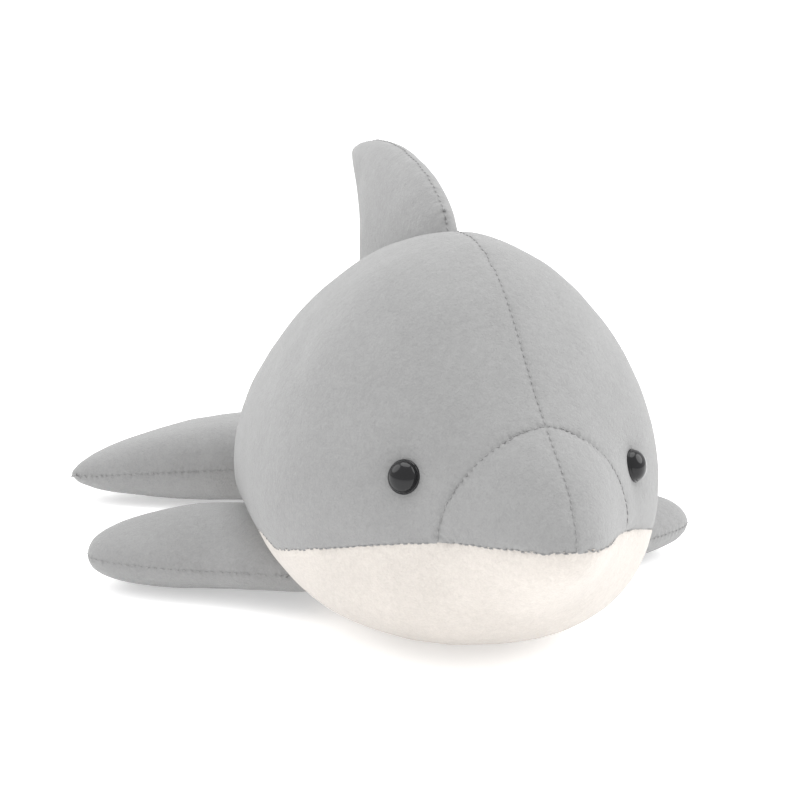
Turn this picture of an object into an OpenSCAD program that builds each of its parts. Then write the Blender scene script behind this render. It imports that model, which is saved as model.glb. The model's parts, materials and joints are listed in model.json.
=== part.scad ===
// Plush dolphin lying on its belly: sewn short-pile cover panels over stuffing,
// two safety eyes locked from inside, and stuffed fins that flex at their root seams.
// The nose points towards -Y, the floor is z = 0, and x = 0 is the middle seam.

/* [Body] */
// Half of the body's greatest width
body_half_w = 95; // [80:1:115]
// Height of the back at the widest station
body_h = 186; // [160:1:220]
// Length from the face to the widest station
face_len = 101; // [85:1:120]
// Length from the widest station to the end of the tail
tail_len = 187; // [160:1:225]
// Height of the line where the body is widest
wide_z = 71; // [60:1:84]
// Half of the tail's width where it meets the flukes
tail_half_w = 39; // [30:1:46]
// Height of the tail where it meets the flukes
tail_h = 50; // [40:1:60]
// Height of the colour seam at the middle of the nose
nose_z = 76; // [62:1:88]
// Height of the colour seam at the widest station
side_seam_z = 40; // [30:1:50]
// How far the underside is pressed flat by the floor
belly_flat = 0.6; // [0.3:0.1:1.2]

/* [Beak] */
// How far the beak stands out of the face
beak_out = 38; // [20:1:44]
// Half width of the beak's swelling
beak_half_w = 36; // [26:1:42]
// Height of the swelling above the colour seam
beak_up = 45; // [30:1:52]
// Depth of the swelling below the colour seam
beak_down = 31; // [20:1:40]
// How far back the beak's side seam lies
beak_seam_y = 15; // [9:1:22]

/* [Cover and stuffing] */
// Thickness of the plush cloth
cloth_t = 2; // [1.2:0.1:3]
// Gap between cloth and stuffing
stuffing_gap = 0.2; // [0.1:0.05:0.5]
// Gap between a fin's root and the body
root_gap = 0.5; // [0.4:0.1:2]

/* [Eyes] */
// Diameter of the eye's dome
eye_d = 14; // [10:0.5:16]
// Height of the eye's dome
eye_h = 5.5; // [4:0.5:7]
// How far back from the face the eyes sit
eye_y = 27.5; // [22:0.5:40]
// Angle of the eyes above the widest line
eye_angle = 21.7; // [12:0.1:30]
// Diameter of the shank behind the dome
shank_d = 4; // [3:0.5:5]
// Length of the shank
shank_len = 14; // [10:0.5:18]
// Diameter of the lock washer
washer_d = 15; // [12:0.5:18]
// Thickness of the lock washer
washer_t = 1.6; // [1:0.1:2.5]
// Radial clearance of the shank in the cloth
shank_gap = 0.3; // [0.1:0.05:0.6]

/* [Dorsal fin] */
// Distance from the face to the front of the fin
fin_y = 132; // [125:1:142]
// Length of the fin's root
fin_root = 136; // [110:1:150]
// Height of the fin over its root line
fin_h = 89; // [60:1:100]
// How far back the tip stands along the root line
fin_sweep = 119; // [95:1:128]
// Half thickness of the fin at its root
fin_half_t = 15; // [10:0.5:17]
// How far the fin flops to each side
fin_swing = 20; // [10:1:25]
// Depth of the fin's root line under the back
fin_sink = 3; // [0:0.5:6]

/* [Flippers] */
// Distance from the face to the front of the flippers
flipper_y = 138; // [132:1:155]
// Length of a flipper's root
flipper_root = 98; // [80:1:106]
// Length of a flipper from its root line
flipper_len = 66; // [55:1:90]
// How far back the middle of the flipper's tip stands along the root line
flipper_sweep = 32; // [22:1:42]
// Width of the flipper towards its round tip
flipper_tip = 36; // [24:1:44]
// Half thickness of a flipper at its root
flipper_half_t = 17.5; // [12:0.5:20]
// Angle of the flipper's root line to the middle
flipper_turn = 10; // [6:1:16]

/* [Tail flukes] */
// Half of the flukes' span
fluke_half_span = 142; // [110:1:160]
// Half thickness of the flukes at the middle
fluke_half_t = 25; // [18:0.5:27]
// Length of the flukes behind their root line
fluke_back = 64; // [50:1:80]
// Depth of the notch between the two lobes
fluke_notch = 26; // [10:1:36]
// How far the tips droop
fluke_droop = 10; // [4:1:14]

/* [Hidden] */

GREY = [0.70, 0.70, 0.70];
CREAM = [0.93, 0.90, 0.87];
BLACK = [0.08, 0.08, 0.09];
WHITE = [0.92, 0.92, 0.90];
EPS = 0.001;

// How blunt each profile is: 2 is an ellipse, more is squarer
nose_width_power = 1.8;
nose_top_power = 1.6;
nose_under_power = 2.5;
rib_top_power = 1.75;
rib_under_power = 2.45;
tail_fall_power = 0.6;
seam_fall_power = 0.8;
tail_close = 16;
beak_fade = 60;

body_len = face_len + tail_len;
fluke_y = body_len + root_gap + fluke_half_t;
back_end = fluke_y + fluke_back;
// The frame's origin is under the middle of the whole length
y_shift = (beak_out - back_end) / 2;

face_rows = 7;
head_rows = 8;
tail_rows = 13;
side_cols = 12;
belly_cols = 16;

// ---- Small helpers -------------------------------------------------------

function blend(a, b, t) = a + (b - a) * t;
function clamp(v, lo = 0, hi = 1) = min(max(v, lo), hi);
function unit(v) = v / norm(v);
// A rise from 0 to 1 that starts steep and ends level
function swell(t, power) = pow(1 - pow(1 - clamp(t), power), 1 / power);
// A fall from 1 to 0 that starts level and ends steep
function close_off(t, power) = pow(1 - pow(clamp(t), power), 1 / power);
function signed_pow(v, power) = sign(v) * pow(abs(v), power);
function range(n) = [for (i = [0:n]) i / n];
// A half size less the wall, never closing before the edge does
function shrink(v, wall) = max(v - wall, 0.3 * v);

// ---- Body surface --------------------------------------------------------

function is_face(y) = y < face_len;
function face_t(y) = clamp(y / face_len);
function tail_t(y) = clamp((y - face_len) / tail_len);
function tail_fall(y) = pow(max(cos(90 * tail_t(y)), 0), tail_fall_power);
function tail_round(y) = close_off((y - (body_len - tail_close)) / tail_close, 2.4);

function half_w(y) = is_face(y)
    ? body_half_w * swell(face_t(y), nose_width_power)
    : blend(tail_half_w, body_half_w, tail_fall(y)) * tail_round(y);
function tail_mid_z() = fluke_half_t;
function top_z(y) = is_face(y)
    ? blend(nose_z, body_h, swell(face_t(y), nose_top_power))
    : blend(tail_mid_z(), blend(tail_h, body_h, tail_fall(y)), tail_round(y));
function bottom_z(y) = is_face(y)
    ? blend(nose_z, -belly_flat, swell(face_t(y), nose_under_power))
    : blend(tail_mid_z(), -belly_flat, tail_round(y));
function mid_z(y) = is_face(y)
    ? blend(nose_z, wide_z, swell(face_t(y), 2))
    : blend(tail_mid_z(), wide_z, tail_fall(y));
function seam_z(y) = is_face(y)
    ? blend(nose_z, side_seam_z, pow(face_t(y), seam_fall_power))
    : blend(tail_mid_z() - 4, side_seam_z, tail_fall(y));

// Angle round a rib at which the colour seam lies
function seam_angle(y) = -asin(pow(
    clamp((mid_z(y) - seam_z(y)) / max(mid_z(y) - bottom_z(y), EPS)),
    rib_under_power / 2));

// The beak swells forward out of the face round the middle of the colour seam
function beak_push(p) =
    let (rise = p[2] > nose_z ? (p[2] - nose_z) / beak_up : (nose_z - p[2]) / beak_down,
         reach = pow(p[0] / beak_half_w, 2) + rise * rise)
    beak_out * exp(-pow(reach, 1.25)) * clamp(1 - p[1] / beak_fade);

function rib(y, a) =
    let (power = 2 / (a >= 0 ? rib_top_power : rib_under_power),
         height = a >= 0 ? top_z(y) - mid_z(y) : mid_z(y) - bottom_z(y))
    [half_w(y) * pow(max(cos(a), 0), power), y, mid_z(y) + height * signed_pow(sin(a), power)];
function body_point(y, a) = let (p = rib(y, a)) p - [0, beak_push(p), 0];

// Outward direction of the surface, from its slopes along and round the body
function body_normal(y, a) =
    y <= EPS ? [0, -1, 0] : y >= body_len - EPS ? [0, 1, 0] :
    let (dy = 0.4, da = 0.8,
         a1 = max(a - da, -90), a2 = min(a + da, 90),
         along = body_point(min(y + dy, body_len), a) - body_point(max(y - dy, 0), a),
         round_rib = body_point(y, a2) - body_point(y, a1),
         n = unit(cross(along, round_rib)))
    abs(a) >= 90 - EPS ? unit([0, n[1], n[2]]) : n;
function body_in(y, a, depth) = body_point(y, a) - depth * body_normal(y, a);

// Stations along the body, close together where it closes
beak_rows_y = [for (t = range(face_rows)) beak_seam_y * (1 - cos(90 * t))];
head_rows_y = [for (t = range(head_rows)) blend(beak_seam_y, face_len, pow(t, 1.3))];
tail_rows_y = [for (t = range(tail_rows)) face_len + tail_len * sin(90 * pow(t, 0.92))];
function tail_of(list) = [for (i = [1:len(list) - 1]) list[i]];
back_rows_y = concat(head_rows_y, tail_of(tail_rows_y));
all_rows_y = concat(beak_rows_y, tail_of(back_rows_y));

function side_angles(y) = [for (t = range(side_cols)) blend(seam_angle(y), 90, t)];
function belly_angles(y) = [for (t = range(belly_cols / 2)) blend(seam_angle(y), -90, t)];

// ---- Solids from grids ---------------------------------------------------

function distinct(p, f) =
    norm(p[f[0]] - p[f[1]]) > EPS && norm(p[f[1]] - p[f[2]]) > EPS && norm(p[f[2]] - p[f[0]]) > EPS;

// A closed solid between two grids of points that share their rows and columns
module grid_solid(outer, inner, flip = false) {
    rows = len(outer);
    cols = len(outer[0]);
    points = concat([for (r = outer) each r], [for (r = inner) each r]);
    shift = rows * cols;
    quads = [for (i = [0:rows - 2], j = [0:cols - 2])
        let (a = i * cols + j, b = a + cols) [a, b, b + 1, a + 1]];
    skin = [for (q = quads) each [[q[0], q[1], q[2]], [q[0], q[2], q[3]]]];
    lining = [for (f = skin) [f[2] + shift, f[1] + shift, f[0] + shift]];
    ends = concat(
        [for (i = [0:rows - 2]) [(i + 1) * cols, i * cols]],
        [for (i = [0:rows - 2]) [i * cols + cols - 1, (i + 1) * cols + cols - 1]],
        [for (j = [0:cols - 2]) [j, j + 1]],
        [for (j = [0:cols - 2]) [(rows - 1) * cols + j + 1, (rows - 1) * cols + j]]);
    rim = [for (e = ends) each e[0] < e[1]
        ? [[e[0], e[1], e[1] + shift], [e[0], e[1] + shift, e[0] + shift]]
        : [[e[0], e[1], e[0] + shift], [e[1], e[1] + shift, e[0] + shift]]];
    faces = [for (f = concat(skin, lining, rim)) if (distinct(points, f)) flip ? [f[2], f[1], f[0]] : f];
    polyhedron(points, faces, convexity = 6);
}

function mirrored(grid) = [for (r = grid) [for (p = r) [-p[0], p[1], p[2]]]];

module on_frame() {
    translate([0, y_shift, 0]) children();
}

// Left (+X) piece as drawn, or its right-hand twin
module side(name) {
    if (name == "left") children();
    else mirror([1, 0, 0]) children();
}

// ---- Body ----------------------------------------------------------------

function side_grid(rows_y, depth) =
    [for (y = rows_y) [for (a = side_angles(y)) body_in(y, a, depth)]];
function belly_half(depth) =
    [for (y = all_rows_y) [for (a = belly_angles(y)) body_in(y, a, depth)]];
function both_sides(half) =
    [for (r = half) concat(r, [for (i = [len(r) - 2:-1:0]) [-r[i][0], r[i][1], r[i][2]]])];

module above_floor() {
    difference() {
        children();
        translate([-body_half_w, -beak_out, -10])
            cube([2 * body_half_w, body_len + 2 * beak_out, 10]);
    }
}

module side_panel(rows_y) {
    grid_solid(side_grid(rows_y, 0), side_grid(rows_y, cloth_t));
}

module back_panel(name) {
    color(GREY) on_frame() side(name) difference() {
        side_panel(back_rows_y);
        fin_room();
        eye_place() translate([0, 0, -shank_len])
            cylinder(d = shank_d + 2 * shank_gap, h = 2 * shank_len, $fn = 32);
    }
}

module beak_panel(name) {
    color(GREY) on_frame() side(name) side_panel(beak_rows_y);
}

module belly_panel() {
    color(CREAM) on_frame() above_floor()
        grid_solid(both_sides(belly_half(0)), both_sides(belly_half(cloth_t)), true);
}

// One half of the stuffing, from the middle of the underside over the flank to the top
function stuffing_half(depth) =
    [for (y = all_rows_y)
        let (under = belly_angles(y),
             angles = concat([for (i = [belly_cols / 2:-1:1]) under[i]], side_angles(y)))
        [for (a = angles) body_in(y, a, depth)]];

module body_stuffing() {
    half = stuffing_half(cloth_t + stuffing_gap);
    color(WHITE) on_frame() difference() {
        grid_solid(half, mirrored(half));
        fin_room();
        for (name = ["left", "right"]) side(name) eye_place() eye_pocket();
    }
}

// ---- Eyes ----------------------------------------------------------------

eye_seat = body_point(eye_y, eye_angle);
eye_out = body_normal(eye_y, eye_angle);
washer_seat = cloth_t + 0.6;

// Turns +Z to the outward direction at the left eye
module eye_place() {
    translate(eye_seat) rotate([0, acos(eye_out[2]), atan2(eye_out[1], eye_out[0])]) children();
}

module eye(name) {
    dome_r = (eye_d * eye_d / 4 + eye_h * eye_h) / (2 * eye_h);
    color(BLACK) on_frame() side(name) eye_place() {
        intersection() {
            translate([0, 0, eye_h - dome_r]) sphere(r = dome_r, $fn = 64);
            cylinder(d = eye_d, h = eye_h + 1, $fn = 64);
        }
        translate([0, 0, -shank_len]) cylinder(d = shank_d, h = shank_len + EPS, $fn = 32);
    }
}

module eye_washer(name) {
    color(WHITE) on_frame() side(name) eye_place()
        translate([0, 0, -washer_seat - washer_t]) difference() {
            cylinder(d = washer_d, h = washer_t, $fn = 48);
            translate([0, 0, -1]) cylinder(d = shank_d, h = washer_t + 2, $fn = 32);
        }
}

// Room in the stuffing for the washer and the shank
module eye_pocket() {
    pocket_gap = 0.5;
    translate([0, 0, -shank_len - pocket_gap])
        cylinder(d = shank_d + 2 * pocket_gap, h = shank_len, $fn = 32);
    translate([0, 0, -washer_seat - washer_t - pocket_gap])
        cylinder(d = washer_d + 2 * pocket_gap, h = washer_seat + washer_t, $fn = 48);
}

// ---- Fins as puffed pads -------------------------------------------------
// A pad lies in its own frame: root line along +X, length along +Y, thickness along Z.
// Its root is round about the root line, so it turns there without touching the body.

cap_rows = 4;
span_rows = 11;
pad_cols = 14;

// lead and trail are the two edges, half_t the half thickness, at share t of the length
function pad_grid(lead, trail, half_t, length, inset) =
    let (thick = half_t[0] - inset,
         turns = [for (t = range(pad_cols)) 180 * t],
         cap = [for (t = [0:cap_rows - 1]) let (a = 90 * t / cap_rows)
             [for (b = turns)
                 let (z = thick * sin(b)) [pad_x(lead, trail, 0, b, inset), -z * cos(a), z * sin(a)]]],
         span = [for (i = [0:span_rows])
             let (y = (length - inset) * pad_t(i), half = shrink(half_t[i], inset))
             [for (b = turns) [pad_x(lead, trail, i, b, inset), y, half * sin(b)]]])
    concat(cap, span);
function pad_t(i) = sin(90 * i / span_rows);
function pad_x(lead, trail, i, b, inset) =
    let (mid = (lead[i] + trail[i]) / 2, reach = shrink((trail[i] - lead[i]) / 2, inset))
    mid - reach * cos(b);

function flat_side(grid) = [for (r = grid) [for (p = r) [p[0], p[1], -p[2]]]];

// ---- Dorsal fin ----------------------------------------------------------

function fin_lead(t) = (fin_sweep + 5) * (1 - close_off(t, 1.55)) - 5;
function fin_trail(t) = blend(fin_root, fin_sweep, t) - 20 * sin(180 * t) * (1 - 0.2 * t);
fin_steps = [for (i = [0:span_rows]) pad_t(i)];
fin_leads = [for (t = fin_steps) t > 1 - EPS ? fin_sweep : fin_lead(t)];
fin_trails = [for (t = fin_steps) fin_trail(t)];
fin_thicks = [for (t = fin_steps) fin_half_t * close_off(t, 2.2)];
// The root line runs down the slope of the back
fin_front = [0, fin_y, top_z(fin_y) - fin_sink];
fin_rear_y = fin_y + 0.9 * fin_root;
fin_slope = atan2(top_z(fin_rear_y) + 2 - fin_front[2], fin_rear_y - fin_y);

// Root line along +Y and downhill, length upwards and back, thickness along X
module fin_place() {
    translate(fin_front) rotate([fin_slope, 0, 0])
        multmatrix([[0, 0, 1, 0], [1, 0, 0, 0], [0, 1, 0, 0]]) children();
}

function fin_grid(inset) = pad_grid(fin_leads, fin_trails, fin_thicks, fin_h, inset);

module fin_panel(name) {
    color(GREY) on_frame() side(name) fin_place() grid_solid(fin_grid(0), fin_grid(cloth_t));
}

module fin_stuffing() {
    inset = cloth_t + stuffing_gap;
    color(WHITE) on_frame() fin_place() grid_solid(fin_grid(inset), flat_side(fin_grid(inset)));
}

// Room in the body for the fin's round root, open upwards as far as the fin swings
module fin_room() {
    depth = 40;
    lead = fin_leads[0];
    trail = fin_trails[0];
    mid = (lead + trail) / 2;
    reach = (trail - lead) / 2;
    stations = [for (t = range(16)) mid - (reach + root_gap) * cos(180 * t)];
    // The walls leave the round floor where the swung fin's flanks do
    arc = [for (t = range(12)) blend(fin_swing - 180, -fin_swing, t)];
    function radius(s) = root_gap + fin_half_t * sqrt(max(1 - pow((s - mid) / reach, 2), 0));
    ring = [for (s = stations)
        let (r = radius(s), out = r / cos(fin_swing) + depth * tan(fin_swing))
        concat([[s, depth, -out]], [for (a = arc) [s, r * sin(a), r * cos(a)]], [[s, depth, out]])];
    n = len(ring[0]);
    points = [for (r = ring) each r];
    walls = [for (i = [0:len(ring) - 2], j = [0:n - 1]) let (k = (j + 1) % n) each
        [[i * n + j, i * n + k, (i + 1) * n + k], [i * n + j, (i + 1) * n + k, (i + 1) * n + j]]];
    caps = [[for (j = [n - 1:-1:0]) j], [for (j = [0:n - 1]) (len(ring) - 1) * n + j]];
    fin_place() polyhedron(points, concat(walls, caps), convexity = 4);
}

// ---- Flippers ------------------------------------------------------------

function flipper_middle(t) = blend(flipper_root / 2, flipper_sweep, t);
function flipper_reach(t) = blend(flipper_root, flipper_tip, t) / 2 * close_off(t, 3);
flipper_steps = [for (i = [0:span_rows]) pad_t(i)];
flipper_leads = [for (t = flipper_steps) flipper_middle(t) - flipper_reach(t)];
flipper_trails = [for (t = flipper_steps) flipper_middle(t) + flipper_reach(t)];
flipper_thicks = [for (t = flipper_steps) flipper_half_t * close_off(t, 2.6)];
flipper_mid_y = flipper_y + flipper_root * cos(flipper_turn) / 2;
// Half width of the body at the flipper's height
function side_x(y, z) =
    half_w(y) * close_off((mid_z(y) - z) / (mid_z(y) - bottom_z(y)), rib_under_power);
function flipper_clear(y) = side_x(y, 2 * flipper_half_t) + root_gap
    + (y - flipper_mid_y) * tan(flipper_turn);
flipper_root_x = max([for (t = range(12)) flipper_clear(flipper_y + t * flipper_root)])
    + flipper_half_t * 0.62;

// Root line from front to back, turned in towards the tail
module flipper_place() {
    translate([flipper_root_x + flipper_root / 2 * sin(flipper_turn), flipper_y, flipper_half_t])
        rotate([0, 0, 90 + flipper_turn]) mirror([0, 1, 0]) children();
}

function flipper_grid(inset) =
    pad_grid(flipper_leads, flipper_trails, flipper_thicks, flipper_len, inset);

module flipper_panel(name, top) {
    outer = flipper_grid(0);
    inner = flipper_grid(cloth_t);
    color(GREY) on_frame() side(name) flipper_place()
        if (top) grid_solid(outer, inner);
        else grid_solid(flat_side(outer), flat_side(inner), true);
}

module flipper_stuffing(name) {
    inset = cloth_t + stuffing_gap;
    color(WHITE) on_frame() side(name) flipper_place()
        grid_solid(flipper_grid(inset), flat_side(flipper_grid(inset)));
}

// ---- Tail flukes ---------------------------------------------------------

fluke_rows = 26;
fluke_cols = 14;
fluke_stations = [for (i = [0:fluke_rows]) -cos(180 * i / fluke_rows)];
function lobe_t(u) = clamp((abs(u) * fluke_half_span - tail_half_w) / (fluke_half_span - tail_half_w));
function fluke_thick(u) = fluke_half_t * pow(max(1 - u * u, 0), 0.6);
function fluke_line(u) = 20 * pow(lobe_t(u), 2);
function fluke_front(u) = fluke_thick(u) * (1 - lobe_t(u)) + lobe_t(u) * 14 * close_off(abs(u), 3);
function fluke_rear(u) =
    blend(fluke_back - fluke_notch, fluke_back, sin(90 * clamp(abs(u) / 0.45)))
        * close_off(abs(u), 2) - fluke_line(u) * close_off(abs(u), 4);
function fluke_grid(inset) =
    [for (u = fluke_stations) let (end = abs(u) > 1 - EPS ? 0 : 1)
        [for (t = range(fluke_cols)) let (b = 180 * t,
                reach = cos(b) > 0 ? fluke_front(u) : fluke_rear(u))
            [u * (fluke_half_span - inset),
                fluke_line(u) - end * shrink(reach, inset) * cos(b),
                end * shrink(fluke_thick(u), inset) * sin(b) - fluke_droop * pow(lobe_t(u), 1.5)]]];
function fluke_under(inset) = let (g = fluke_grid(inset))
    [for (i = [0:len(g) - 1]) let (z = g[i][0][2])
        [for (p = g[i]) [p[0], p[1], 2 * z - p[2]]]];

module fluke_place() {
    translate([0, fluke_y, fluke_half_t]) children();
}

module fluke_top() {
    color(GREY) on_frame() fluke_place() grid_solid(fluke_grid(0), fluke_grid(cloth_t), true);
}

module fluke_bottom() {
    color(GREY) on_frame() fluke_place() grid_solid(fluke_under(0), fluke_under(cloth_t));
}

module fluke_stuffing() {
    inset = cloth_t + stuffing_gap;
    color(WHITE) on_frame() fluke_place() grid_solid(fluke_grid(inset), fluke_under(inset), true);
}

back_panel("left");  // back_panel_left
back_panel("right");  // back_panel_right
beak_panel("left");  // beak_panel_left
beak_panel("right");  // beak_panel_right
belly_panel();
body_stuffing();
eye("left");  // eye_left
eye("right");  // eye_right
eye_washer("left");  // eye_washer_left
eye_washer("right");  // eye_washer_right
fin_panel("left");  // fin_panel_left
fin_panel("right");  // fin_panel_right
fin_stuffing();
flipper_panel("left", true);  // flipper_left_top
flipper_panel("left", false);  // flipper_left_bottom
flipper_stuffing("left");  // flipper_left_stuffing
flipper_panel("right", true);  // flipper_right_top
flipper_panel("right", false);  // flipper_right_bottom
flipper_stuffing("right");  // flipper_right_stuffing
fluke_top();
fluke_bottom();
fluke_stuffing();
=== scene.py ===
"""A sewn plush dolphin: cover panels, stuffing, stitches, eyes and a plain pale stage.

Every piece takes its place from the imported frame, in metres, with the nose towards -Y.
"""

import json
import math

import bmesh
import bpy
import numpy as np
from bpy.props import FloatProperty, FloatVectorProperty, IntProperty, PointerProperty
from mathutils import Euler, Matrix, Vector, noise
from mathutils.bvhtree import BVHTree
from mathutils.kdtree import KDTree


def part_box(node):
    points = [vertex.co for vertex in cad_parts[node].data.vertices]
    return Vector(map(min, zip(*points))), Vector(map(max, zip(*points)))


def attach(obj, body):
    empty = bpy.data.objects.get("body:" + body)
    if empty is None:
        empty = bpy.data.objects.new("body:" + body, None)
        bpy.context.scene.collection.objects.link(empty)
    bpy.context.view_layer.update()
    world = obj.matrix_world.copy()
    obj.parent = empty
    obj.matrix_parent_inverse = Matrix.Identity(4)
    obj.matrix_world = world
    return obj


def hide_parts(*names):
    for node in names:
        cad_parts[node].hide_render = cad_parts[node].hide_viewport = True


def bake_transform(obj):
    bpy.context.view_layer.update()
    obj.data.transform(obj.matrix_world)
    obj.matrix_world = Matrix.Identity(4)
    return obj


bl_info = {
    "name": "Plush dolphin",
    "version": (1, 0, 0),
    "blender": (4, 5, 0),
    "location": "View3D > Sidebar > Dolphin",
    "description": "Sews and stuffs a plush dolphin round its packed frame",
    "category": "Object",
}

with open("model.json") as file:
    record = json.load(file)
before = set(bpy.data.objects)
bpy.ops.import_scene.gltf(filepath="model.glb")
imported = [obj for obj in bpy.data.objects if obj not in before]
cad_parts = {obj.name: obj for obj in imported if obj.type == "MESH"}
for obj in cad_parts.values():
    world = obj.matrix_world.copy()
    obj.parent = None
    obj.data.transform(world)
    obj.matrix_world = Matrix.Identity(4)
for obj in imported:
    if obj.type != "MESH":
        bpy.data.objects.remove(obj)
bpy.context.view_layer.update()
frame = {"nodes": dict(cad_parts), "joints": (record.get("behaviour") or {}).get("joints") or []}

BACKS = ["back_panel_left", "back_panel_right"]
BEAKS = ["beak_panel_left", "beak_panel_right"]
COVER = BACKS + BEAKS + ["belly_panel"]
FIN = ["fin_panel_left", "fin_panel_right"]
SIDES = {"left": 1, "right": -1}
JOINTS = {j["name"]: j for j in frame["joints"]}

WELD = 1e-6
FLOOR_GAP = 0.0002  # least height of a cover over the floor
FILLING_FLOOR_GAP = 0.002  # least height of a filling over the floor
FILLING_GAP = 0.0006  # room between a cover and its filling
HELD_REACH = 0.012  # how far round a held vertex the cover stays tight
RAY_REACH = 0.4  # starts a ray well outside the toy
ROOT_LEVEL = 0.0005  # a fin's vertices below this height belong to its root
FIN_SEAM_PULL = 0.5  # fins are sewn more loosely than the body
MIDDLE_SEAM_PULL = 0.55  # and so are the seams in the middle plane
SHARP_TURN = 0.8  # no stitch lies where the cosine of a seam's turn is below this
MIDDLE_WIDTH = 0.003  # a run within this of the middle plane is a middle seam
SOCKET_REACH = 0.006  # how far round the fin the back is carried over its socket
EYE_HOLD = 0.009  # how far round an eye the cover stays tight
ROOT_DENT = 0.0016  # how far the cloth is drawn in where a fin meets it
ROOT_DENT_REACH = 0.014  # and how far from the fin that is worked out
FIN_SINK = 0.004  # how far the fin's root goes on into the back
FLIPPER_SINK = 0.034  # how far a flipper's root goes on into the flank
FLIPPER_SHIFT = Vector((0, -0.020, 0.004))  # and how far forward and up that moves it
FLUKE_SINK = 0.030  # how far the flukes' middle goes on into the tail


# ---------------------------------------------------------------- settings


class SewingSettings(bpy.types.PropertyGroup):
    cloth: FloatProperty(
        name="Cloth thickness",
        description="Thickness of the cover cloth with its pile",
        default=0.0016,
        unit="LENGTH",
    )
    crease: FloatProperty(
        name="Seam depth",
        description="How far the stitches pull a seam in",
        default=0.0010,
        unit="LENGTH",
    )
    crease_width: FloatProperty(
        name="Seam width",
        description="Half width of the sharp part of a seam",
        default=0.0012,
        unit="LENGTH",
    )
    shoulder: FloatProperty(
        name="Seam shoulder",
        description="Half width of the soft roll beside a seam",
        default=0.0055,
        unit="LENGTH",
    )
    stitch: FloatProperty(
        name="Stitch length",
        description="Distance from one stitch to the next",
        default=0.0036,
        unit="LENGTH",
    )
    pucker: FloatProperty(
        name="Pucker",
        description="How far each stitch dimples the cloth beside it",
        default=0.00035,
        unit="LENGTH",
    )
    thread: FloatProperty(
        name="Thread diameter",
        description="Diameter of the sewing thread",
        default=0.0006,
        unit="LENGTH",
    )


class StuffingSettings(bpy.types.PropertyGroup):
    pressure: FloatProperty(
        name="Pressure",
        description="Pressure of the stuffing on the cover",
        default=4.0,
    )
    steps: IntProperty(
        name="Steps",
        description="Steps that the cover takes to fill out",
        default=20,
    )
    ease: FloatProperty(
        name="Ease",
        description="How much smaller than full the covers start",
        default=0.0,
        unit="LENGTH",
    )
    swell: FloatProperty(
        name="Swell",
        description="The most that the stuffing pushes a cover out",
        default=0.0026,
        unit="LENGTH",
    )
    lump: FloatProperty(
        name="Lumps",
        description="Height of the soft lumps that stuffing leaves",
        default=0.0006,
        unit="LENGTH",
    )
    lump_size: FloatProperty(
        name="Lump size",
        description="Distance from one soft lump to the next",
        default=0.034,
        unit="LENGTH",
    )
    body_rows: IntProperty(
        name="Body rows",
        description="Rows of cloth cells across each side of the body",
        default=34,
    )
    fin_cell: FloatProperty(
        name="Fin cell",
        description="Size of the cloth cells of the fins",
        default=0.004,
        unit="LENGTH",
    )
    fill: FloatProperty(
        name="Fill",
        description="How tightly the toy is stuffed, from 0 to 1",
        default=0.85,
        subtype="FACTOR",
    )


class EyeSettings(bpy.types.PropertyGroup):
    dome_radius: FloatProperty(
        name="Dome radius",
        description="Radius of the glossy dome at its rim",
        default=0.007,
        unit="LENGTH",
    )
    dome_height: FloatProperty(
        name="Dome height",
        description="Height of the dome over the cloth",
        default=0.0055,
        unit="LENGTH",
    )
    rim: FloatProperty(
        name="Rim",
        description="Width of the thin flange round the dome",
        default=0.0006,
        unit="LENGTH",
    )
    shank_radius: FloatProperty(
        name="Shank radius",
        description="Radius of the ribbed shank behind the dome",
        default=0.002,
        unit="LENGTH",
    )
    dent: FloatProperty(
        name="Dent",
        description="How far the lock washer pulls the cloth in at the eye",
        default=0.0022,
        unit="LENGTH",
    )
    dent_radius: FloatProperty(
        name="Dent radius",
        description="How far round the eye the cloth is pulled in",
        default=0.013,
        unit="LENGTH",
    )


class ColourSettings(bpy.types.PropertyGroup):
    grey: FloatVectorProperty(
        name="Grey plush",
        description="Colour of the back, beak and fins",
        subtype="COLOR",
        default=(0.318, 0.318, 0.318),
    )
    cream: FloatVectorProperty(
        name="Cream plush",
        description="Colour of the jaw and belly",
        subtype="COLOR",
        default=(0.645, 0.605, 0.565),
    )
    thread: FloatVectorProperty(
        name="Thread",
        description="Colour of the sewing thread",
        subtype="COLOR",
        default=(0.29, 0.29, 0.29),
    )
    eye: FloatVectorProperty(
        name="Eye",
        description="Colour of the eyes",
        subtype="COLOR",
        default=(0.006, 0.006, 0.007),
    )
    washer: FloatVectorProperty(
        name="Washer",
        description="Colour of the lock washers",
        subtype="COLOR",
        default=(0.80, 0.80, 0.78),
    )
    floor: FloatVectorProperty(
        name="Floor",
        description="Colour of the floor",
        subtype="COLOR",
        default=(0.93, 0.93, 0.93),
    )


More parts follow.
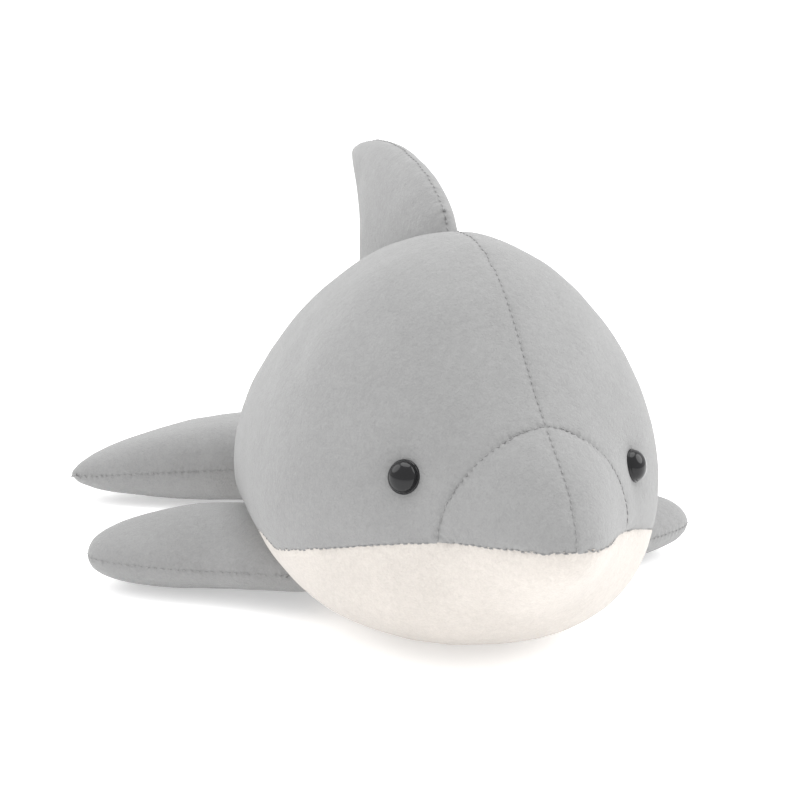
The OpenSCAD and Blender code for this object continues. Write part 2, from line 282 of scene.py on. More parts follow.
class StageSettings(bpy.types.PropertyGroup):
    camera_place: FloatVectorProperty(
        name="Camera place",
        description="Where the camera stands",
        subtype="TRANSLATION",
        unit="LENGTH",
        default=(-0.34525, -0.95479, 0.33031),
    )
    camera_turn: FloatVectorProperty(
        name="Camera turn",
        description="Tilt, roll and heading of the camera",
        subtype="EULER",
        default=(1.34125, -0.04249, -0.32815),
    )
    lens: FloatProperty(
        name="Lens",
        description="Focal length of the camera in millimetres",
        default=95.6,
    )
    sky: FloatProperty(
        name="Sky",
        description="Strength of the even light from all round",
        default=0.95,
    )
    key: FloatProperty(
        name="Key light",
        description="Power of the large soft light on the left flank",
        default=11.0,
        unit="POWER",
    )
    side: FloatProperty(
        name="Side light",
        description="Power of the soft light behind the right flank",
        default=6.5,
        unit="POWER",
    )
    top: FloatProperty(
        name="Top light",
        description="Power of the soft light overhead",
        default=13.0,
        unit="POWER",
    )
    # Painted glow: the floor gives off light by itself, though it is no lamp, to lift the shade under
    # the toy
    floor_glow: FloatProperty(
        name="Floor glow",
        description="Light that the floor sends up by itself, as a light table does",
        default=0.36,
    )
    floor_radius: FloatProperty(
        name="Floor radius",
        description="Radius of the floor",
        default=30.0,
        unit="LENGTH",
    )


GROUPS = {
    "sewing": SewingSettings,
    "stuffing": StuffingSettings,
    "eyes": EyeSettings,
    "colours": ColourSettings,
    "stage": StageSettings,
}


def settings(name):
    return getattr(bpy.context.scene, "dolphin_" + name)


# ------------------------------------------------------------ mesh helpers


def node_bmesh(*names, reach_in=None):
    """The welded meshes of CAD nodes, as one bmesh.

    reach_in gives how far each vertex moves, so that a fin's root reaches into the body.
    """
    whole = bmesh.new()
    for name in names:
        one = bmesh.new()
        one.from_mesh(frame["nodes"][name].data)
        bmesh.ops.remove_doubles(one, verts=one.verts, dist=WELD)
        mesh = bpy.data.meshes.new("welded")
        one.to_mesh(mesh)
        one.free()
        whole.from_mesh(mesh)
        bpy.data.meshes.remove(mesh)
    for v in whole.verts if reach_in else []:
        v.co += reach_in(v.co)
    return whole


def tree_of(*names, reach_in=None):
    bm = node_bmesh(*names, reach_in=reach_in)
    tree = BVHTree.FromBMesh(bm)
    bm.free()
    return tree


def centre_of(name):
    low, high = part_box(name)
    return (low + high) / 2


def new_object(name, bm):
    """A new object from a bmesh, which is freed."""
    mesh = bpy.data.meshes.new(name)
    bm.to_mesh(mesh)
    bm.free()
    obj = bpy.data.objects.new(name, mesh)
    bpy.context.scene.collection.objects.link(obj)
    return obj


def settle(obj):
    """Applies every modifier of obj to its mesh."""
    bpy.context.view_layer.update()
    graph = bpy.context.evaluated_depsgraph_get()
    mesh = bpy.data.meshes.new_from_object(obj.evaluated_get(graph))
    old = obj.data
    obj.modifiers.clear()
    obj.data = mesh
    mesh.name = obj.name
    bpy.data.meshes.remove(old)
    return obj


def places(mesh):
    flat = np.empty(len(mesh.vertices) * 3)
    mesh.vertices.foreach_get("co", flat)
    return flat.reshape(-1, 3)


def outward(mesh):
    """The outward direction at each vertex."""
    flat = np.empty(len(mesh.vertices) * 3)
    mesh.vertex_normals.foreach_get("vector", flat)
    return flat.reshape(-1, 3)


def put(mesh, points):
    mesh.vertices.foreach_set("co", np.ascontiguousarray(points).ravel())
    mesh.update()


def smooth(obj, factor, times):
    """Evens out a mesh without changing its faces."""
    relax = obj.modifiers.new("Even out", "SMOOTH")
    relax.factor = factor
    relax.iterations = times
    return settle(obj)


def subdivide(obj, levels):
    cut = obj.modifiers.new("Finer", "SUBSURF")
    cut.levels = cut.render_levels = levels
    return settle(obj)


def voxel_form(name, nodes, cell, reach_in):
    """One closed form round several CAD nodes that touch, in even cells."""
    bm = node_bmesh(*nodes, reach_in=reach_in)
    skin = BVHTree.FromBMesh(bm)
    obj = new_object(name, bm)
    remesh = obj.modifiers.new("Even cells", "REMESH")
    remesh.mode = "VOXEL"
    remesh.voxel_size = cell
    settle(obj)
    smooth(obj, 0.5, 6)
    points, normals = places(obj.data), outward(obj.data)
    for k, (point, normal) in enumerate(zip(points.tolist(), normals.tolist())):
        way = Vector(normal)
        place = skin.ray_cast(Vector(point) + way * 0.008, -way, 0.016)[0]
        if place is not None:
            points[k] = place
    put(obj.data, points)
    return smooth(obj, 0.4, 2)


# ----------------------------------------------------------------- sewing


class Pattern:
    """Which panel each face of a form belongs to, and where its seams run."""

    def __init__(self, obj, panels, reach_in=None):
        self.mesh = obj.data
        self.panels = panels
        self.trees = [tree_of(p, reach_in=reach_in) for p in panels]
        faces = len(self.mesh.polygons)
        middles = np.empty(faces * 3)
        self.mesh.polygons.foreach_get("center", middles)
        middles = middles.reshape(-1, 3)
        far = np.empty((len(panels), faces))
        for k, tree in enumerate(self.trees):
            far[k] = [tree.find_nearest(m)[3] for m in middles.tolist()]
        self.of_face = far.argmin(0)
        self.find_seams()

    def find_seams(self):
        """Finds the edges between two panels and the vertices on them."""
        mesh = self.mesh
        loops = np.empty(len(mesh.loops), int)
        mesh.loops.foreach_get("edge_index", loops)
        total = np.empty(len(mesh.polygons), int)
        mesh.polygons.foreach_get("loop_total", total)
        panel = np.repeat(self.of_face, total)
        edges = len(mesh.edges)
        low = np.full(edges, 99)
        high = np.full(edges, -1)
        np.minimum.at(low, loops, panel)
        np.maximum.at(high, loops, panel)
        ends = np.empty(edges * 2, int)
        mesh.edges.foreach_get("vertices", ends)
        self.ends = ends.reshape(-1, 2)
        self.seams = np.nonzero(low != high)[0]
        self.seam_pair = {int(e): (int(low[e]), int(high[e])) for e in self.seams}
        self.on_seam = {}
        for e in self.seams:
            for v in self.ends[e]:
                self.on_seam.setdefault(int(v), set()).update(self.seam_pair[int(e)])

    def snap(self, points, normals):
        """Moves the seam's vertices along the surface onto the CAD seam."""
        for v, touching in self.on_seam.items():
            here = Vector(points[v])
            near = [self.trees[k].find_nearest(here)[0] for k in touching]
            move = sum(near, Vector()) / len(near) - here
            up = Vector(normals[v])
            points[v] = here + move - up * move.dot(up)
        return points

    def chains(self, points):
        """The seams as runs of points, each with its distance along the run."""
        near = {}
        for e in self.seams:
            a, b = (int(i) for i in self.ends[e])
            near.setdefault(a, []).append((b, int(e)))
            near.setdefault(b, []).append((a, int(e)))
        used, runs = set(), []
        starts = [v for v in near if len(near[v]) != 2] + list(near)
        for start in starts:
            for first, edge in near[start]:
                if edge in used:
                    continue
                used.add(edge)
                run, here = [start, first], first
                while len(near[here]) == 2:
                    onward = [(n, e) for n, e in near[here] if e not in used]
                    if not onward:
                        break
                    here, edge = onward[0]
                    used.add(edge)
                    run.append(here)
                runs.append(run)
        return [r for r in runs if len(r) > 4]


def along(points, run):
    """Each point of a run with its distance from the run's start."""
    line = points[run]
    step = np.linalg.norm(np.diff(line, axis=0), axis=1)
    return line, np.concatenate([[0], np.cumsum(step)])


def sink_seams(obj, pattern, pull, extra=None):
    """Pulls the seams in, dimples them at each stitch, and returns the stitches' places.

    pull is how tightly the form is sewn, where 1 is the full seam depth. Seams in the
    middle plane are sewn more loosely, and every seam is a little uneven.
    """
    sew = settings("sewing")
    stuff = settings("stuffing")
    mesh = obj.data
    points, normals = places(mesh), outward(mesh)
    points = pattern.snap(points, normals)
    runs = pattern.chains(points)
    marks = []
    for run in runs:
        line, far = along(points, run)
        tight = pull * (MIDDLE_SEAM_PULL if abs(line[:, 0]).max() < MIDDLE_WIDTH else 1)
        a, b = line[:-1], line[1:]
        for t in (0, 0.25, 0.5, 0.75):
            spots = (a + (b - a) * t).tolist()
            reached = far[:-1] + (far[1:] - far[:-1]) * t
            marks += [(spot, at, tight) for spot, at in zip(spots, reached)]
    tree = KDTree(len(marks))
    for k, mark in enumerate(marks):
        tree.insert(mark[0], k)
    tree.balance()
    found = [tree.find(p) for p in points.tolist()]
    away = np.array([f[2] for f in found])
    run_at = np.array([marks[f[1]][1] for f in found])
    tight = np.array([marks[f[1]][2] for f in found])
    uneven = np.array([0.8 + 0.9 * noise.noise(Vector(p) * 70) for p in points.tolist()])
    sharp = np.exp(-away / sew.crease_width)
    soft = np.exp(-((away / sew.shoulder) ** 2))
    depth = sew.crease * tight * uneven * (0.65 * sharp + 0.35 * soft)
    beat = np.cos(run_at / sew.stitch * 2 * math.pi)
    depth += sew.pucker * tight * uneven * beat * np.exp(-((away / (2.2 * sew.crease_width)) ** 2))
    size = 1 / stuff.lump_size
    lumps = np.array(
        [
            noise.noise(Vector(p) * size) + 0.4 * noise.noise(Vector(p) * size * 2.6)
            for p in points.tolist()
        ]
    )
    depth -= stuff.lump * lumps * (1 - soft)
    if extra is not None:
        depth += extra(points)
    points = points - normals * depth[:, None]
    points[:, 2] = np.maximum(points[:, 2], FLOOR_GAP)
    put(mesh, points)
    return stitch_places(mesh, runs, sew.stitch)


def stitch_places(mesh, runs, pitch):
    """Where each stitch lies: its place, its direction and the way out of the cloth."""
    points, normals = places(mesh), outward(mesh)
    out = []
    for run in runs:
        line, far = along(points, run)
        count = int(far[-1] / pitch)
        for k in range(count):
            at = (k + 0.5) * pitch
            i = min(int(np.searchsorted(far, at)), len(run) - 1)
            a, b = line[i - 1], line[i]
            t = (at - far[i - 1]) / max(far[i] - far[i - 1], 1e-9)
            ahead = line[min(i + 1, len(line) - 1)] - line[max(i - 2, 0)]
            before, after = a - line[max(i - 4, 0)], line[min(i + 3, len(line) - 1)] - b
            if before @ after < SHARP_TURN * np.linalg.norm(before) * np.linalg.norm(after):
                continue
            out.append((a + (b - a) * t, ahead / np.linalg.norm(ahead), normals[run[i]]))
    return out


def make_thread(name, stitches):
    """Short stitches of thread lying in the seams."""
    sew = settings("sewing")
    whole = bmesh.new()
    for place, ahead, up in stitches:
        x = Vector(ahead)
        z = (Vector(up) - x * Vector(up).dot(x)).normalized()
        turn = Matrix((x, z.cross(x), z)).transposed().to_4x4()
        size = Matrix.Diagonal((sew.stitch * 0.36, sew.thread / 2, sew.thread / 2, 1))
        where = Matrix.Translation(Vector(place) + z * sew.thread * 0.35)
        bmesh.ops.create_icosphere(whole, subdivisions=1, radius=1, matrix=where @ turn @ size)
    for face in whole.faces:
        face.smooth = True
    obj = new_object(name, whole)
    obj.data.materials.append(thread_material())
    return obj


def cut_panels(obj, pattern, suffix):
    """Cuts a sewn form along its seams into one piece of cloth for each panel."""
    wall = settings("sewing").cloth
    made = []
    for k, node in enumerate(pattern.panels):
        bm = bmesh.new()
        bm.from_mesh(obj.data)
        bm.faces.ensure_lookup_table()
        others = [f for f in bm.faces if pattern.of_face[f.index] != k]
        bmesh.ops.delete(bm, geom=others, context="FACES")
        for face in bm.faces:
            face.smooth = True
        for edge in bm.edges:
            edge.smooth = not edge.is_boundary
        panel = new_object(node + suffix, bm)
        thick = panel.modifiers.new("Cloth", "SOLIDIFY")
        thick.thickness = wall
        thick.offset = -1
        settle(panel)
        settings("stuffing").fill
        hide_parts(node)
        slot = frame["nodes"][node].data.materials[0].name
        panel.data.materials.clear()
        panel.data.materials.append(plush_material(slot))
        made.append(panel)
    bpy.data.objects.remove(obj)
    return made


# --------------------------------------------------------------- stuffing


def plump(obj, held, swell):
    """Fills a cover with stuffing: cloth under pressure, held at the seams."""
    stuff = settings("stuffing")
    mesh = obj.data
    free = free_share(obj, held)[:, None]
    start = places(mesh) - outward(mesh) * free * stuff.ease
    start[:, 2] = np.maximum(start[:, 2], FLOOR_GAP)
    put(mesh, start)
    group = obj.vertex_groups.new(name="held")
    group.add([int(v) for v in held], 1.0, "REPLACE")
    cloth = obj.modifiers.new("Stuffing", "CLOTH")
    cloth.settings.quality = 5
    cloth.settings.use_pressure = True
    cloth.settings.uniform_pressure_force = stuff.pressure
    cloth.settings.vertex_group_mass = "held"
    cloth.settings.effector_weights.gravity = 0
    cloth.collision_settings.use_collision = False
    cloth.point_cache.frame_start = 1
    cloth.point_cache.frame_end = stuff.steps
    for step in range(1, stuff.steps + 1):
        bpy.context.scene.frame_set(step)
    graph = bpy.context.evaluated_depsgraph_get()
    full = places(obj.evaluated_get(graph).data)
    obj.modifiers.clear()
    obj.vertex_groups.clear()
    bpy.context.scene.frame_set(1)
    move = full - start
    far = np.maximum(np.linalg.norm(move, axis=1), 1e-9)
    move *= (swell * np.tanh(far / swell) / far)[:, None]
    put(mesh, start + move)
    return obj


def free_share(obj, held):
    """How free each vertex is to swell: 0 where it is held, 1 well away from there."""
    points = places(obj.data)
    tree = KDTree(len(held))
    for k, v in enumerate(held):
        tree.insert(points[v], k)
    tree.balance()
    away = np.array([tree.find(p)[2] for p in points.tolist()])
    return 1 - np.exp(-((away / HELD_REACH) ** 2))


def filling(name, form, node, shrink):
    """The fibre filling inside a cover: the same form, a little smaller and rougher."""
    bm = bmesh.new()
    bm.from_mesh(form.data)
    obj = new_object(name, bm)
    mesh = obj.data
    points = places(mesh)
    rough = np.array([noise.noise(Vector(p) * 160) for p in points.tolist()])
    points = points - outward(mesh) * (shrink + 0.0004 * rough)[:, None]
    points[:, 2] = np.maximum(points[:, 2], FILLING_FLOOR_GAP)
    put(mesh, points)
    for face in mesh.polygons:
        face.use_smooth = True
    mesh.materials.clear()
    mesh.materials.append(fibre_material())
    settings("stuffing").fill
    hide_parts(node)
    return obj


# -------------------------------------------------------------- materials


def shader(name):
    """A new material, its node tree and its shader."""
    material = bpy.data.materials.new(name)
    material.use_nodes = True
    tree = material.node_tree
    surface = tree.nodes["Principled BSDF"]
    return material, tree, surface


def grain(tree, scale, detail, roughness=0.5):
    """Fine noise at a real size, in waves per metre."""
    where = tree.nodes.new("ShaderNodeTexCoord")
    texture = tree.nodes.new("ShaderNodeTexNoise")
    texture.inputs["Scale"].default_value = scale
    texture.inputs["Detail"].default_value = detail
    texture.inputs["Roughness"].default_value = roughness
    tree.links.new(where.outputs["Object"], texture.inputs["Vector"])
    return texture.outputs["Fac"]


def ramp(tree, value, low, high, dark, light):
    """Turns a value into a colour between dark and light."""
    node = tree.nodes.new("ShaderNodeValToRGB")
    node.color_ramp.elements[0].position = low
    node.color_ramp.elements[1].position = high
    node.color_ramp.elements[0].color = (*dark, 1)
    node.color_ramp.elements[1].color = (*light, 1)
    tree.links.new(value, node.inputs["Fac"])
    return node.outputs["Color"]


def darken(tree, first, second):
    """Multiplies two colours."""
    node = tree.nodes.new("ShaderNodeMix")
    node.data_type = "RGBA"
    node.blend_type = "MULTIPLY"
    node.inputs["Factor"].default_value = 1.0
    tree.links.new(first, node.inputs["A"])
    tree.links.new(second, node.inputs["B"])
    return node.outputs["Result"]


def bump(tree, height, distance, strength, before=None):
    node = tree.nodes.new("ShaderNodeBump")
    node.inputs["Distance"].default_value = distance
    node.inputs["Strength"].default_value = strength
    tree.links.new(height, node.inputs["Height"])
    if before is not None:
        tree.links.new(before, node.inputs["Normal"])
    return node.outputs["Normal"]


def scaled(colour, by):
    return tuple(min(1.0, c * by) for c in colour)


def plush_material(slot):
    """Short-pile plush: fine pile, brushed patches and a soft sheen."""
    name = slot + "_pile"
    if name in bpy.data.materials:
        return bpy.data.materials[name]
    colour = settings("colours").cream if slot.startswith("cream") else settings("colours").grey
    material, tree, surface = shader(name)
    pile = grain(tree, 1050, 4, 0.65)
    tufts = grain(tree, 330, 3, 0.55)
    brushed = grain(tree, 38, 2, 0.5)
    base = ramp(tree, pile, 0.30, 0.72, scaled(colour, 0.92), scaled(colour, 1.05))
    patch = ramp(tree, brushed, 0.35, 0.65, (0.955,) * 3, (1, 1, 1))
    speck = ramp(tree, tufts, 0.38, 0.62, (0.95,) * 3, (1, 1, 1))
    mixed = darken(tree, darken(tree, base, patch), speck)
    tree.links.new(mixed, surface.inputs["Base Color"])
    normal = bump(tree, tufts, 0.0012, 0.35)
    normal = bump(tree, pile, 0.0007, 0.55, normal)
    tree.links.new(normal, surface.inputs["Normal"])
    surface.inputs["Roughness"].default_value = 0.95
    surface.inputs["Specular IOR Level"].default_value = 0.15
    surface.inputs["Sheen Weight"].default_value = 0.25
    surface.inputs["Sheen Roughness"].default_value = 0.45
    return material


def thread_material():
    """Twisted polyester thread."""
    if "sewing_thread" in bpy.data.materials:
        return bpy.data.materials["sewing_thread"]
    material, tree, surface = shader("sewing_thread")
    colour = settings("colours").thread
    twist = grain(tree, 2600, 2)
    base = ramp(tree, twist, 0.35, 0.65, scaled(colour, 0.8), scaled(colour, 1.15))
    tree.links.new(base, surface.inputs["Base Color"])
    tree.links.new(bump(tree, twist, 0.0002, 0.4), surface.inputs["Normal"])
    surface.inputs["Roughness"].default_value = 0.7
    return material


def fibre_material():
    """Loose white polyester fibre."""
    if "fibre_filling" in bpy.data.materials:
        return bpy.data.materials["fibre_filling"]
    material, tree, surface = shader("fibre_filling")
    fibres = grain(tree, 420, 6, 0.75)
    base = ramp(tree, fibres, 0.3, 0.7, (0.72, 0.72, 0.71), (0.9, 0.9, 0.89))
    tree.links.new(base, surface.inputs["Base Color"])
    tree.links.new(bump(tree, fibres, 0.002, 0.7), surface.inputs["Normal"])
    surface.inputs["Roughness"].default_value = 1.0
    return material


def moulded_material(name, colour, roughness, coat, specular=0.5):
    """Moulded plastic with a faint flow of colour and a fine surface."""
    material, tree, surface = shader(name)
    surface.inputs["Specular IOR Level"].default_value = specular
    flow = grain(tree, 300, 3)
    base = ramp(tree, flow, 0.3, 0.7, scaled(colour, 0.85), scaled(colour, 1.15))
    tree.links.new(base, surface.inputs["Base Color"])
    tree.links.new(bump(tree, flow, 0.00005, 0.1), surface.inputs["Normal"])
    surface.inputs["Roughness"].default_value = roughness
    surface.inputs["Coat Weight"].default_value = coat
    surface.inputs["Coat Roughness"].default_value = 0.05
    return material


# ------------------------------------------------------------------ forms

# The sewn fins, so that the body's cloth is drawn in where they meet it
fin_forms = []


def sewn_fin(name, panels, stuffing, root, out, reach_in):
    """Makes a stuffed fin: an even form, its stuffing, its seams, its panels and thread."""
    stuff = settings("stuffing")
    form = voxel_form(name + "_form", [*panels, stuffing], stuff.fin_cell, reach_in)
    rough = Pattern(form, panels, reach_in)
    height = (places(form.data) - np.array(root)) @ np.array(out)
    held = set(rough.on_seam) | set(np.nonzero(height < 0)[0].tolist())
    plump(form, sorted(held), stuff.swell)
    inside = filling(name + "_filling", form, stuffing, settings("sewing").cloth + FILLING_GAP)
    subdivide(form, 2)
    fine = Pattern(form, panels, reach_in)
    corners = [v.co for v in form.data.vertices]
    fin_forms.append(BVHTree.FromPolygons(corners, [p.vertices for p in form.data.polygons]))
    stitches = sink_seams(form, fine, FIN_SEAM_PULL)
    thread = make_thread(name + "_thread", stitches)
    return cut_panels(form, fine, "_cloth") + [inside, thread]


class DOLPHIN_OT_fin(bpy.types.Operator):
    """Sew and stuff the dorsal fin, with its root sunk into the back"""

    bl_idname = "dolphin.fin"
    bl_label = "Dorsal fin"

    def execute(self, context):
        joint = JOINTS["fin_flop"]
        root = Vector(joint["pos_m"])
        line = Vector(joint["axis"]).normalized()
        up = Vector((1, 0, 0)).cross(line).normalized()
        up = up if up.z > 0 else -up

        def reach_in(place):
            return -up * FIN_SINK if (place - root).dot(up) < ROOT_LEVEL else Vector()

        pieces = sewn_fin("dorsal_fin", FIN, "fin_stuffing", root, up, reach_in)
        for piece in pieces:
            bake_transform(piece)
        return {"FINISHED"}


class DOLPHIN_OT_flippers(bpy.types.Operator):
    """Sew and stuff both flippers, with their roots sunk into the flanks"""

    bl_idname = "dolphin.flippers"
    bl_label = "Flippers"

    def execute(self, context):
        for side, sign in SIDES.items():
            joint = JOINTS[side + "_flap"]
            root = Vector(joint["pos_m"])
            line = Vector(joint["axis"])
            line = Vector((line.x, line.y, 0)).normalized()
            out = Vector((line.y, -line.x, 0))
            out = out if out.x * sign > 0 else -out

            def reach_in(place, root=root, out=out):
                if (place - root).dot(out) < ROOT_LEVEL:
                    return FLIPPER_SHIFT - out * FLIPPER_SINK
                return Vector()

            panels = [f"flipper_{side}_top", f"flipper_{side}_bottom"]
            inside = f"flipper_{side}_stuffing"
            pieces = sewn_fin("flipper_" + side, panels, inside, root, out, reach_in)
            for piece in pieces:
                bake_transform(piece)
        return {"FINISHED"}


class DOLPHIN_OT_flukes(bpy.types.Operator):
    """Sew and stuff the tail flukes, with their middle sunk into the tail"""

    bl_idname = "dolphin.flukes"
    bl_label = "Tail flukes"

    def execute(self, context):
        panels = ["fluke_top", "fluke_bottom"]
        joint = JOINTS["tail_bend"]
        root = Vector(joint["pos_m"])
        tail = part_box("body_stuffing")[1].y
        half = 0.036  # half the width of the part that reaches into the tail

        def reach_in(place):
            front = max(0, (root.y - place.y) / (root.y - tail))
            inner = min(max((half + 0.012 - abs(place.x)) / 0.018, 0), 1)
            return Vector((0, -front * inner * inner * (3 - 2 * inner) * FLUKE_SINK, 0))

        neck = Vector((0, tail, root.z))
        pieces = sewn_fin("flukes", panels, "fluke_stuffing", neck, Vector((0, 1, 0)), reach_in)
        for piece in pieces:
            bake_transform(piece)
        return {"FINISHED"}


def carry_across(loose):
    """Carries the cloth over loose vertices with the curve that it has round them."""
    column = {v: k for k, v in enumerate(loose)}
    near = [e.other_vert(v) for v in loose for e in v.link_edges]
    bends, known = [], []
    for v in dict.fromkeys(loose + near):
        beside = [e.other_vert(v) for e in v.link_edges]
        bend, fixed = np.zeros(len(loose)), np.zeros(3)
        for w, share in [(v, 1.0)] + [(n, -1.0 / len(beside)) for n in beside]:
            if w in column:
                bend[column[w]] += share
            else:
                fixed -= np.array(w.co) * share
        bends.append(bend)
        known.append(fixed)
    found = np.linalg.lstsq(np.array(bends), np.array(known), rcond=None)[0]
    for v, place in zip(loose, found.tolist()):
        v.co = place


def even_out(bm, verts, factor, times):
    for _ in range(times):
        bmesh.ops.smooth_vert(
            bm, verts=verts, factor=factor, use_axis_x=True, use_axis_y=True, use_axis_z=True
        )


def spread_form(name, rows):
    """The whole body in even cells, with the fin's socket and the eyes' holes closed."""
    skin = tree_of(*COVER, "body_stuffing", "fin_stuffing", *FIN)
    fin = tree_of("fin_stuffing", *FIN)
    eyes = tree_of("eye_left", "eye_right")
    low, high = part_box("body_stuffing")
    bm = bmesh.new()
    bmesh.ops.create_cube(bm, size=2)
    bmesh.ops.subdivide_edges(bm, edges=bm.edges, cuts=rows - 1, use_grid_fill=True)
    front, back = Vector((0, low.y + 0.095, 0.085)), Vector((0, high.y - 0.030, 0.030))
    loose = []
    for v in bm.verts:
        way = Vector([math.tan(c * math.pi / 4) for c in v.co]).normalized()
        start = front.lerp(back, (way.y + 1) / 2)
        over_eye = eyes.ray_cast(start + way * RAY_REACH, -way, RAY_REACH)[0]
        place = over_eye or skin.ray_cast(start + way * RAY_REACH, -way)[0]
        if place is None:
            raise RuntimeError("the cover has a gap where a ray found no cloth")
        v.co = place
        if over_eye or fin.find_nearest(place, SOCKET_REACH)[0]:
            loose.append(v)
    carry_across(loose)
    even_out(bm, bm.verts, 0.4, 2)
    bmesh.ops.recalc_face_normals(bm, faces=bm.faces)
    return new_object(name, bm)


def eye_axis(side):
    """The seat of an eye on the cloth and the direction it looks in."""
    washer = centre_of("eye_washer_" + side)
    bm = node_bmesh("eye_" + side)
    whole = sum((f.calc_center_median() * f.calc_area() for f in bm.faces), Vector())
    middle = whole / sum(f.calc_area() for f in bm.faces)
    look = (middle - washer).normalized()
    reach = max((v.co - washer).dot(look) for v in bm.verts)
    bm.free()
    return washer + look * (reach - settings("eyes").dome_height), look


class DOLPHIN_OT_body(bpy.types.Operator):
    """Sew and stuff the body: two back panels, two beak panels and the belly"""

    bl_idname = "dolphin.body"
    bl_label = "Body"

    def execute(self, context):
        stuff = settings("stuffing")
        eye = settings("eyes")
        form = spread_form("body_form", stuff.body_rows)
        rough = Pattern(form, COVER)
        seats = [eye_axis(side) for side in SIDES]
        points = places(form.data)
        near_eye = [
            k for k, p in enumerate(points.tolist())
            if any((Vector(p) - seat).length < EYE_HOLD for seat, _ in seats)
        ]
        plump(form, sorted(set(rough.on_seam) | set(near_eye)), stuff.swell)
        inside = filling("body_filling", form, "body_stuffing", settings("sewing").cloth + FILLING_GAP)
        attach(inside, "torso")
        subdivide(form, 2)
        fine = Pattern(form, COVER)
        sew = settings("sewing")

        def dents(points):
            depth = np.zeros(len(points))
            for seat, _ in seats:
                far = np.linalg.norm(points - np.array(seat), axis=1)
                depth += eye.dent * np.exp(-((far / eye.dent_radius) ** 2))
            for fin_form in fin_forms:
                for k, p in enumerate(points.tolist()):
                    near = fin_form.find_nearest(p, ROOT_DENT_REACH)
                    if near[0] is not None:
                        depth[k] += ROOT_DENT * math.exp(-((near[3] / sew.shoulder) ** 2))
            return depth

        stitches = sink_seams(form, fine, 1, dents)
        thread = make_thread("body_thread", stitches)
        for piece in cut_panels(form, fine, "_cloth") + [thread]:
            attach(piece, "torso")
        return {"FINISHED"}


class DOLPHIN_OT_eyes(bpy.types.Operator):
    """Spin the two glossy eyes and finish their lock washers"""

    bl_idname = "dolphin.eyes"
    bl_label = "Eyes"

    def execute(self, context):
        eye = settings("eyes")
        colours = settings("colours")
        gloss = moulded_material("eye_gloss", colours.eye, 0.10, 0.15, specular=0.3)
        matte = moulded_material("washer_moulding", colours.washer, 0.45, 0.0)
        for side in SIDES:
            seat, look = eye_axis(side)
            seat = seat - look * (eye.dent - 0.0004)
            bm = bmesh.new()
            outline = [Vector((0, 0, eye.dome_height + 0.0003))]
            for k in range(1, 13):
                a = math.pi / 2 * k / 12
                z = 0.0008 + (eye.dome_height - 0.0005) * math.cos(a)
                outline.append(Vector((eye.dome_radius * math.sin(a), 0, z)))
            edge = eye.dome_radius + eye.rim
            shank = eye.shank_radius
            outline += [Vector((edge - 0.0002, 0, 0.0006)), Vector((edge, 0, 0.0002))]
            outline += [Vector((edge - 0.0004, 0, -0.0004))]
            outline += [Vector((shank + 0.0006, 0, -0.0006)), Vector((shank, 0, -0.0014))]
            for k in range(9):
                z = -0.002 - k * 0.0013
                outline += [Vector((shank + 0.0002, 0, z)), Vector((shank - 0.0002, 0, z - 0.0007))]
            outline += [Vector((shank - 0.0006, 0, -0.0136)), Vector((0, 0, -0.014))]
            verts = [bm.verts.new(p) for p in outline]
            edges = [bm.edges.new(pair) for pair in zip(verts, verts[1:])]
            bmesh.ops.spin(
                bm,
                geom=verts + edges,
                cent=(0, 0, 0),
                axis=(0, 0, 1),
                angle=math.tau,
                steps=64,
                use_merge=True,
            )
            bmesh.ops.remove_doubles(bm, verts=bm.verts, dist=WELD)
            bmesh.ops.recalc_face_normals(bm, faces=bm.faces)
            turn = look.to_track_quat("Z", "Y").to_matrix().to_4x4()
            bmesh.ops.transform(bm, matrix=Matrix.Translation(seat) @ turn, verts=bm.verts)
            for face in bm.faces:
                face.smooth = True
            piece = new_object("eye_" + side + "_dome", bm)
            piece.data.materials.append(gloss)
            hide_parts("eye_" + side)
            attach(piece, "torso")
            washer = frame["nodes"]["eye_washer_" + side]
            washer.data.materials.clear()
            washer.data.materials.append(matte)
        return {"FINISHED"}


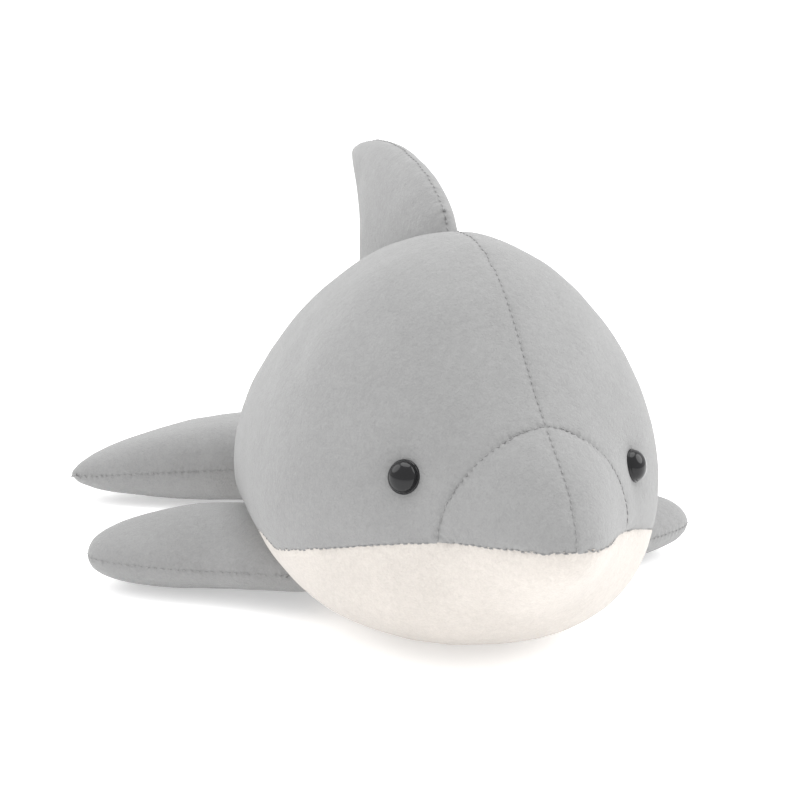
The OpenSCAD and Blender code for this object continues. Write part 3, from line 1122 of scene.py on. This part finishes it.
class DOLPHIN_OT_stage(bpy.types.Operator):
    """Lay the pale floor, with its painted glow, and set the light and the camera"""

    bl_idname = "dolphin.stage"
    bl_label = "Stage"

    def execute(self, context):
        stage = settings("stage")
        scene = context.scene
        bm = bmesh.new()
        bmesh.ops.create_circle(bm, cap_ends=True, segments=96, radius=stage.floor_radius)
        bmesh.ops.recalc_face_normals(bm, faces=bm.faces)
        floor = new_object("floor", bm)
        material, tree, surface = shader("floor_paper")
        colour = settings("colours").floor
        base = ramp(tree, grain(tree, 90, 3), 0.3, 0.7, scaled(colour, 0.995), colour)
        tree.links.new(base, surface.inputs["Base Color"])
        surface.inputs["Roughness"].default_value = 0.9
        surface.inputs["Specular IOR Level"].default_value = 0.1
        # Painted glow: the floor's emission lifts the contact shade under the toy and lights its
        # underside
        surface.inputs["Emission Color"].default_value = (1, 1, 1, 1)
        surface.inputs["Emission Strength"].default_value = stage.floor_glow
        floor.data.materials.append(material)

        world = bpy.data.worlds.new("studio")
        world.use_nodes = True
        world.node_tree.nodes["Background"].inputs["Color"].default_value = (1, 1, 1, 1)
        world.node_tree.nodes["Background"].inputs["Strength"].default_value = stage.sky
        scene.world = world
        self.light(scene, "key", (1.15, -0.35, 1.0), stage.key, 1.3)
        self.light(scene, "side", (-1.1, 0.45, 1.0), stage.side, 1.2)
        self.light(scene, "top", (0.0, 0.25, 1.7), stage.top, 1.5)

        camera = bpy.data.objects.new("camera", bpy.data.cameras.new("camera"))
        camera.data.lens = stage.lens
        camera.data.sensor_width = 36
        camera.data.clip_start = 0.05
        camera.location = stage.camera_place
        camera.rotation_euler = Euler(stage.camera_turn)
        scene.collection.objects.link(camera)
        scene.camera = camera
        scene.view_settings.view_transform = "Standard"
        return {"FINISHED"}

    @staticmethod
    def light(scene, name, place, power, size):
        data = bpy.data.lights.new(name, "AREA")
        data.shape = "DISK"
        data.energy = power
        data.size = size
        lamp = bpy.data.objects.new(name, data)
        lamp.location = place
        aim = Vector((0, -0.02, 0.08)) - Vector(place)
        lamp.rotation_euler = aim.to_track_quat("-Z", "Y").to_euler()
        scene.collection.objects.link(lamp)


PIECES = [
    DOLPHIN_OT_fin,
    DOLPHIN_OT_flippers,
    DOLPHIN_OT_flukes,
    DOLPHIN_OT_body,
    DOLPHIN_OT_eyes,
    DOLPHIN_OT_stage,
]


class DOLPHIN_PT_sewing(bpy.types.Panel):
    """Lists the dolphin's pieces and their settings"""

    bl_label = "Plush dolphin"
    bl_idname = "DOLPHIN_PT_sewing"
    bl_space_type = "VIEW_3D"
    bl_region_type = "UI"
    bl_category = "Dolphin"

    def draw(self, context):
        for name, group in GROUPS.items():
            box = self.layout.box()
            box.label(text=name.capitalize())
            for field in group.__annotations__:
                box.prop(settings(name), field)
        for piece in PIECES:
            self.layout.operator(piece.bl_idname)


CLASSES = [*GROUPS.values(), *PIECES, DOLPHIN_PT_sewing]


def register():
    for cls in CLASSES:
        bpy.utils.register_class(cls)
    for name, group in GROUPS.items():
        setattr(bpy.types.Scene, "dolphin_" + name, PointerProperty(type=group))


def unregister():
    for name in GROUPS:
        delattr(bpy.types.Scene, "dolphin_" + name)
    for cls in reversed(CLASSES):
        bpy.utils.unregister_class(cls)


def main():
    register()
    for piece in PIECES:
        group, name = piece.bl_idname.split(".")
        getattr(getattr(bpy.ops, group), name)()


if __name__ == "__main__":
    main()
